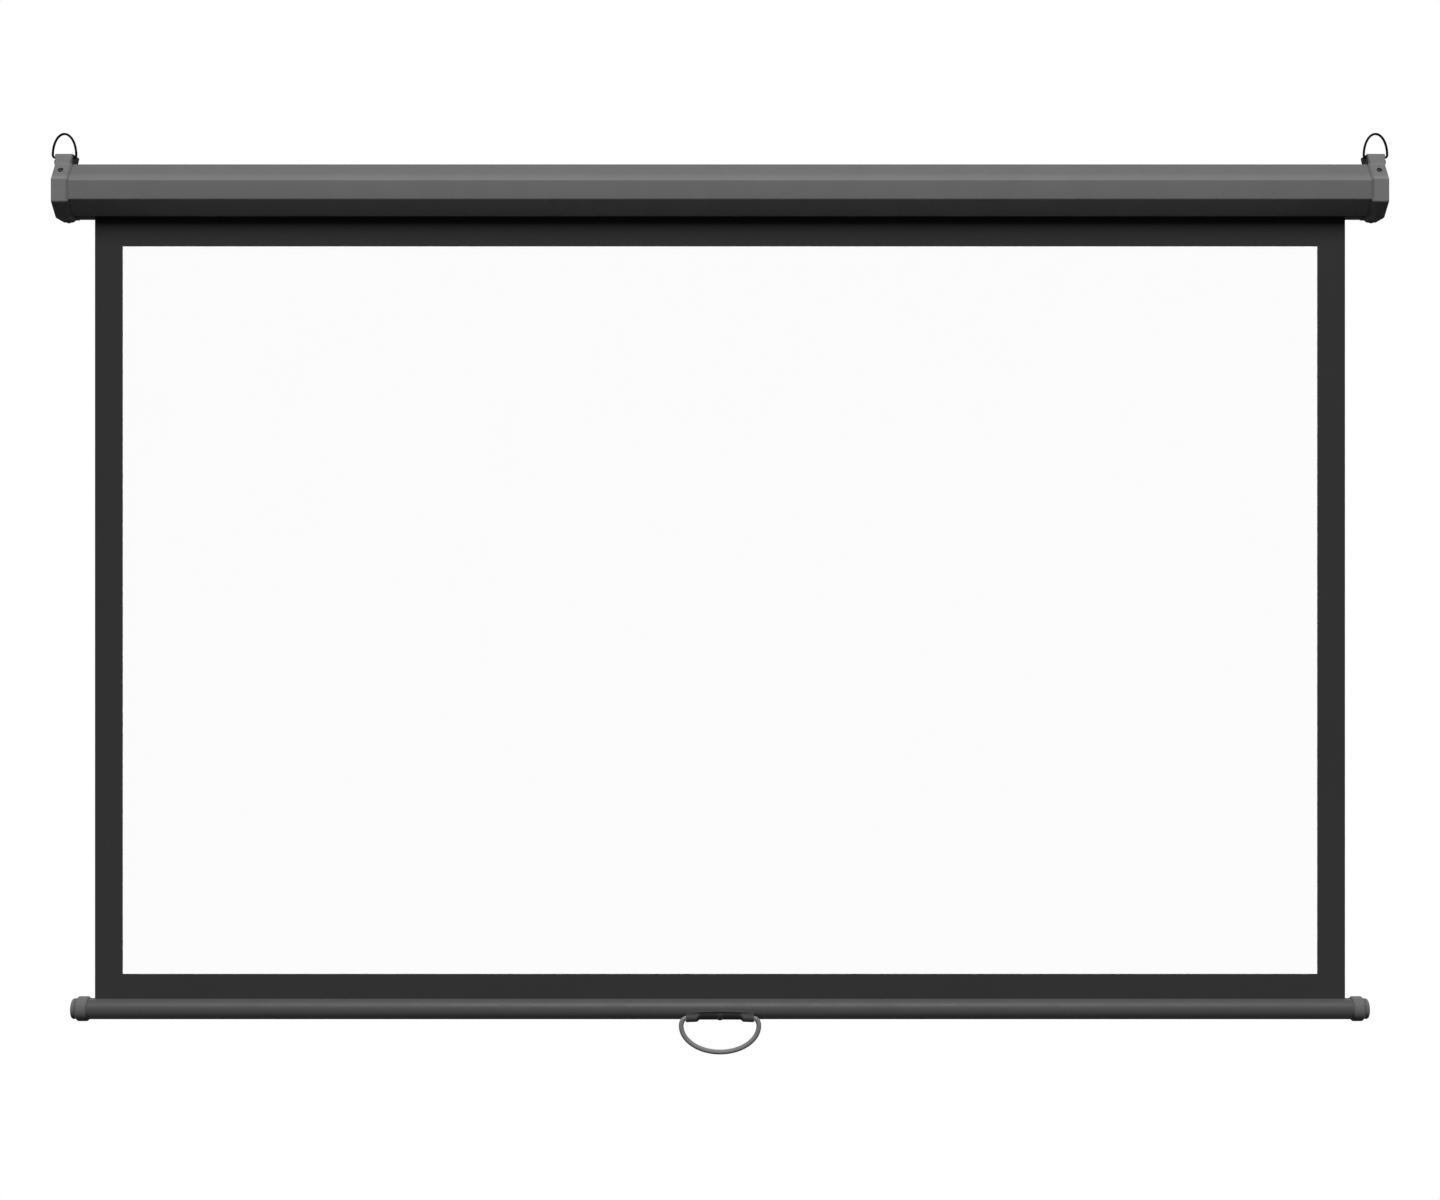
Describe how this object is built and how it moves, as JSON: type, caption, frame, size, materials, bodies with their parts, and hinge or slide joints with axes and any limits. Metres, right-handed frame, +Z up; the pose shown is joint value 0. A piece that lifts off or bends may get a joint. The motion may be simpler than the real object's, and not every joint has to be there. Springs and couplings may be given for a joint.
{
  "type": "pull-down projection screen",
  "caption": "Manual pull-down projection screen: octagonal case with a spring roller, black-bordered white fabric, round weight bar, pull handle and wire hangers.",
  "frame": {"origin": "middle of the flat back of the case, level with the roller's axis", "axes": "+X along the case to the viewer's right, +Y from the viewer to the wall, +Z up"},
  "size_m": [1.6002, 0.066, 1.1014],
  "materials": {
    "case_paint": "satin",
    "cap_plastic": "moulded",
    "dark_plastic": "moulded",
    "black_wire": "satin",
    "handle_wire": "satin",
    "steel": "zinc plated",
    "cast_metal": "die cast",
    "spring_steel": "oiled",
    "bronze": "sintered",
    "black_fabric": "matte coated",
    "white_fabric": "matte white",
    "tape": "matte"
  },
  "bodies": {
    "case": {"case_shell": "case_paint", "left_end_cap": "cap_plastic", "right_end_cap": "cap_plastic", "left_front_screw": "steel", "left_rear_screw": "steel", "left_bottom_screw": "steel", "right_front_screw": "steel", "right_rear_screw": "steel", "right_bottom_screw": "steel", "left_end_plate": "cast_metal", "right_end_plate": "cast_metal", "idler_bush": "bronze", "spring_shaft": "steel", "ratchet_wheel": "cast_metal", "spring_anchor": "dark_plastic", "anchor_pin": "steel", "torsion_spring": "spring_steel", "screen_fabric": "black_fabric", "projection_surface": "white_fabric"},
    "roller": {"roller_tube": "steel", "spring_end_plug": "cast_metal", "shaft_steady": "dark_plastic", "idler_plug": "dark_plastic", "gudgeon_pin": "steel", "fabric_tape": "tape", "fabric_wraps": "black_fabric", "pawl_pin_1": "steel", "pawl_pin_2": "steel"},
    "first_pawl": {"pawl_1": "steel"},
    "second_pawl": {"pawl_2": "steel"},
    "bar": {"bottom_border": "black_fabric", "hem_rod": "steel", "weight_bar": "case_paint", "left_bar_cap": "cap_plastic", "right_bar_cap": "cap_plastic", "handle_bracket": "dark_plastic", "bracket_screw": "steel"},
    "handle": {"pull_loop": "handle_wire"},
    "left_hanger_loop": {"left_hanger": "black_wire"},
    "right_hanger_loop": {"right_hanger": "black_wire"}
  },
  "joints": [
    {"name": "screen_drop", "type": "slide", "parent": "case", "child": "bar", "axis": [0, 0, 1], "range_m": [0, 0.933], "deforming": ["screen_fabric", "projection_surface"]},
    {"name": "roller_spin", "type": "hinge", "parent": "case", "child": "roller", "pos_m": [0, -0.02, 0], "axis": [1, 0, 0], "range_deg": [-3240, 0]},
    {"name": "pawl_1_swing", "type": "hinge", "parent": "roller", "child": "first_pawl", "pos_m": [-0.77375, -0.02, 0.0105], "axis": [1, 0, 0], "range_deg": [-16, 0]},
    {"name": "pawl_2_swing", "type": "hinge", "parent": "roller", "child": "second_pawl", "pos_m": [-0.77375, -0.02, -0.0105], "axis": [1, 0, 0], "range_deg": [-16, 0]},
    {"name": "handle_swing", "type": "hinge", "parent": "bar", "child": "handle", "pos_m": [0, -0.0481, -0.98935], "axis": [1, 0, 0], "range_deg": [-110, 45]},
    {"name": "left_hanger_swing", "type": "hinge", "parent": "case", "child": "left_hanger_loop", "pos_m": [-0.78475, -0.04, 0.0393], "axis": [1, 0, 0], "range_deg": [-70, 90]},
    {"name": "right_hanger_swing", "type": "hinge", "parent": "case", "child": "right_hanger_loop", "pos_m": [0.78475, -0.04, 0.0393], "axis": [1, 0, 0], "range_deg": [-70, 90]}
  ],
  "couplings": [
    {"joint": "roller_spin", "follows": "screen_drop", "rad_per_m": -60.6}
  ]
}
